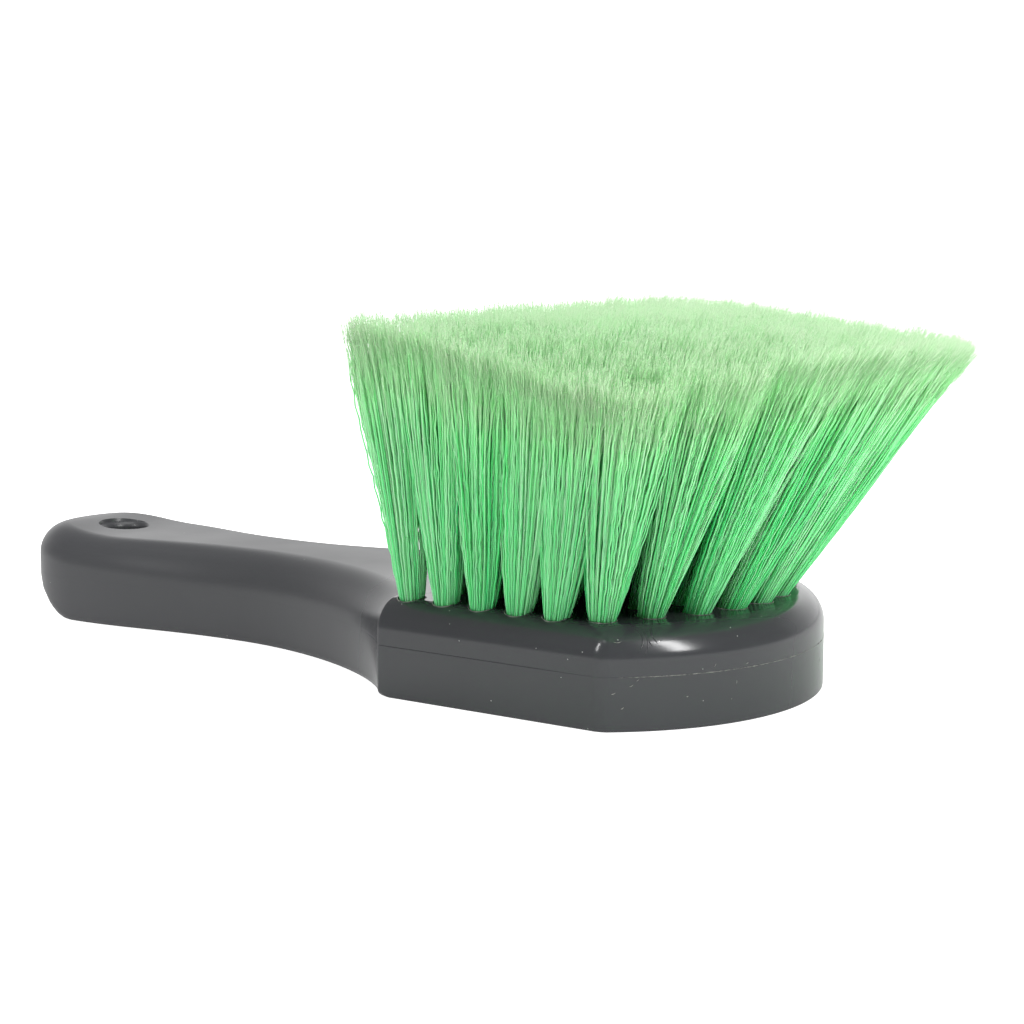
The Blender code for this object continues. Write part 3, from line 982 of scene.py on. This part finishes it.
def make_plastic():
    """Grey plastic: glossy and speckled on the block, duller and paler where hands wore the handle."""
    material, tree, shader = new_material("grey moulded plastic")
    place = tree.nodes.new("ShaderNodeTexCoord").outputs["Object"]
    flow = add_node(tree, "ShaderNodeTexNoise", [("Vector", place)], Scale=38.0, Detail=3.0, Roughness=0.55)
    grain = add_node(tree, "ShaderNodeTexNoise", [("Vector", place)], Scale=1900.0, Detail=2.0)
    specks = add_node(tree, "ShaderNodeTexVoronoi", [("Vector", place)], Scale=620.0)
    apart = add_node(tree, "ShaderNodeSeparateColor", [("Color", specks.outputs["Color"])])
    split = add_node(tree, "ShaderNodeSeparateXYZ", [("Vector", place)])
    scarce = remap(tree, split.outputs["X"], -0.01, 0.0, 0.975, 0.84)
    rare = maths(tree, "GREATER_THAN", apart.outputs[0], scarce)
    dot = maths(tree, "LESS_THAN", specks.outputs["Distance"], 0.085)
    speck = maths(tree, "MULTIPLY", rare, dot)
    body = mix_colours(tree, flow.outputs["Fac"], *PLASTIC)
    worn = remap(tree, split.outputs["X"], -0.03, 0.005, 0.55, 0.0)
    body = mix_colours(tree, worn, body, PLASTIC_WORN)
    colour = mix_colours(tree, speck, body, PLASTIC_SPECK)
    tree.links.new(colour, shader.inputs["Base Color"])
    gloss = remap(tree, split.outputs["X"], -0.03, 0.005, 0.36, 0.17)
    gloss = maths(tree, "ADD", gloss, remap(tree, flow.outputs["Fac"], 0.3, 0.7, -0.02, 0.03))
    tree.links.new(gloss, shader.inputs["Roughness"])
    grain_height = [("Height", grain.outputs["Fac"])]
    bump = add_node(tree, "ShaderNodeBump", grain_height, Strength=0.10, Distance=0.00004)
    tree.links.new(bump.outputs["Normal"], shader.inputs["Normal"])
    shader.inputs["IOR"].default_value = 1.5
    return material


def stored_number(tree, name):
    """The output of a number stored at each corner of the mesh."""
    node = tree.nodes.new("ShaderNodeAttribute")
    node.attribute_name = name
    return node.outputs["Fac"]


def make_filament_material():
    """Green filament whose shade changes from one to the next, and which pales towards its split tip; a
    darker green at its root is painted shade.
    """
    material, tree, shader = new_material("green crimped filament")
    shade, along, split = (stored_number(tree, name) for name in ("shade", "along", "split"))
    place = tree.nodes.new("ShaderNodeTexCoord").outputs["Object"]
    patches = add_node(tree, "ShaderNodeTexNoise", [("Vector", place)], Scale=90.0, Detail=2.0)
    patches.inputs["Roughness"].default_value = 0.6
    patch = patches.outputs["Fac"]
    shaft = mix_colours(tree, shade, *SHAFT_GREEN)
    # painted shade: darker green towards the roots
    painted_root_shade = remap(tree, along, 0.0, 0.25, 0.4, 0.0)
    root = mix_colours(tree, painted_root_shade, shaft, ROOT_SHADE_GREEN)
    pale = maths(tree, "MULTIPLY", maths(tree, "ADD", patch, shade), 0.5)
    fibre = mix_colours(tree, pale, *FIBRE_GREEN)
    tip = mix_colours(tree, patch, *TIP_GREEN)
    upper = mix_colours(tree, remap(tree, along, 0.40, 0.92, 0.0, 0.45), root, fibre)
    lower = mix_colours(tree, remap(tree, split, 0.0, 0.45, 0.0, 1.0), upper, fibre)
    colour = mix_colours(tree, remap(tree, split, 0.55, 1.0, 0.0, 1.0), lower, tip)
    tree.links.new(colour, shader.inputs["Base Color"])
    shader.inputs["Roughness"].default_value = 0.38
    shader.inputs["Specular IOR Level"].default_value = 0.14
    shader.inputs["Subsurface Weight"].default_value = 0.35
    shader.inputs["Subsurface Radius"].default_value = (0.35, 1.0, 0.40)
    shader.inputs["Subsurface Scale"].default_value = 0.0006
    return material


def make_scraped_and_glint_material():
    """Plastic scraped pale in streaks, for burrs, scuffs and flash; on the flash the pale colour is partly a
    painted glint along the parting line.
    """
    material, tree, shader = new_material("scraped plastic")
    place = tree.nodes.new("ShaderNodeTexCoord").outputs["Object"]
    streaks = add_node(tree, "ShaderNodeTexNoise", [("Vector", place)], Scale=900.0, Detail=2.0)
    share = remap(tree, streaks.outputs["Fac"], 0.35, 0.70, 0.0, 1.0)
    colour = mix_colours(tree, share, *SCRAPED_AND_GLINT_PLASTIC)
    tree.links.new(colour, shader.inputs["Base Color"])
    shader.inputs["Roughness"].default_value = 0.55
    return material


def make_wire_material():
    material, tree, shader = new_material("staple wire")
    place = tree.nodes.new("ShaderNodeTexCoord").outputs["Object"]
    drawn = add_node(tree, "ShaderNodeTexNoise", [("Vector", place)], Scale=1500.0, Detail=2.0)
    colour = mix_colours(tree, drawn.outputs["Fac"], *WIRE)
    tree.links.new(colour, shader.inputs["Base Color"])
    shader.inputs["Metallic"].default_value = 1.0
    shader.inputs["Roughness"].default_value = 0.32
    return material


def make_floor_material():
    """A pale table that reads as plain white, as under a product shot's bright light."""
    material, tree, shader = new_material("white table")
    shader.inputs["Base Color"].default_value = (0.86, 0.86, 0.86, 1.0)
    shader.inputs["Roughness"].default_value = 0.9
    shader.inputs["Specular IOR Level"].default_value = 0.1
    shader.inputs["Emission Color"].default_value = (1.0, 1.0, 1.0, 1.0)
    seen = tree.nodes.new("ShaderNodeLightPath").outputs["Is Camera Ray"]
    glow = remap(tree, seen, 0.0, 1.0, TABLE_GLOW, 1.0)
    tree.links.new(glow, shader.inputs["Emission Strength"])
    return material


# ---------------------------------------------------------------- camera, stage and light


def make_camera():
    data = bpy.data.cameras.new("camera")
    data.lens, data.sensor_width = CAMERA_LENS, CAMERA_SENSOR
    data.clip_start, data.clip_end = 0.01, 60.0
    camera = bpy.data.objects.new("camera", data)
    bpy.context.scene.collection.objects.link(camera)
    a, e = math.radians(CAMERA_AZIMUTH), math.radians(CAMERA_ELEVATION)
    ahead = Vector((-math.sin(a) * math.cos(e), math.cos(a) * math.cos(e), -math.sin(e)))
    camera.location = CAMERA_PLACE
    camera.rotation_euler = ahead.to_track_quat("-Z", "Y").to_euler()
    bpy.context.scene.camera = camera


def make_floor():
    bm = bmesh.new()
    bmesh.ops.create_circle(bm, cap_ends=True, segments=64, radius=TABLE_RADIUS)
    floor = link("floor", mesh_from_bmesh("floor", bm), make_floor_material())
    floor.location.z = -TABLE_DROP


def make_world():
    """A bright backdrop low behind the brush, in a darker room; the camera sees plain white."""
    world = bpy.data.worlds.new("studio")
    bpy.context.scene.world = world
    world.use_nodes = True
    tree = world.node_tree
    background = tree.nodes["Background"]
    place = tree.nodes.new("ShaderNodeTexCoord").outputs["Generated"]
    split = add_node(tree, "ShaderNodeSeparateXYZ", [("Vector", place)])
    facing = tree.nodes.new("ShaderNodeVectorMath")
    facing.operation = "DOT_PRODUCT"
    tree.links.new(place, facing.inputs[0])
    facing.inputs[1].default_value = BACKDROP_WAY
    low = remap(tree, split.outputs["Z"], 0.34, 0.55, 1.0, 0.0)
    front = remap(tree, facing.outputs["Value"], 0.30, 0.90, 0.0, 1.0)
    room = remap(tree, maths(tree, "MULTIPLY", low, front), 0.0, 1.0, ROOM_LIGHT, BACKDROP_LIGHT)
    seen = tree.nodes.new("ShaderNodeLightPath").outputs["Is Camera Ray"]
    strength = maths(tree, "MAXIMUM", room, maths(tree, "MULTIPLY", seen, 1.05))
    tree.links.new(strength, background.inputs["Strength"])
    background.inputs["Color"].default_value = (1.0, 1.0, 1.0, 1.0)


def add_softbox(name, place, target, size, power):
    data = bpy.data.lights.new(name, "AREA")
    data.shape, data.size, data.size_y, data.energy = "RECTANGLE", size[0], size[1], power
    lamp = bpy.data.objects.new(name, data)
    bpy.context.scene.collection.objects.link(lamp)
    lamp.location = place
    lamp.rotation_euler = (Vector(target) - Vector(place)).to_track_quat("-Z", "Y").to_euler()
    lamp.visible_camera = False


def place_round(azimuth, elevation, distance):
    """A place round the brush, from degrees."""
    a, e = math.radians(azimuth), math.radians(elevation)
    way = Vector((math.cos(a) * math.cos(e), math.sin(a) * math.cos(e), math.sin(e)))
    return Vector(LIGHT_TARGET) + way * distance


def make_lights():
    """A wide softbox overhead, and two upright strips whose reflections stand on the nose's fillet."""
    add_softbox("overhead", (0.1, -0.1, 1.3), (0.0, 0.0, 0.0), (1.2, 1.2), 10.0)
    add_softbox("key", place_round(-13.0, 34.0, 1.3), LIGHT_TARGET, (0.20, 0.80), 12.0)
    add_softbox("side", place_round(-106.0, 35.0, 1.3), LIGHT_TARGET, (0.11, 0.60), 4.4)


def main():
    make_camera()
    make_floor()
    make_world()
    make_lights()
    bpy.context.scene.view_settings.view_transform = "Standard"
    tufts = read_tufts()
    plastic = make_plastic()
    make_moulding(tufts, plastic)
    make_flow_marks(plastic)
    scraped = make_scraped_and_glint_material()
    make_burrs(tufts, scraped)
    make_scuffs(scraped)
    # the flash's pale colour is partly a painted glint along its ridge
    make_flash(scraped)
    make_staples(tufts, make_wire_material())
    field = Field(tufts)
    green = make_filament_material()
    for number, tuft in enumerate(tufts):
        make_tuft(tuft, field, number, green)


main()
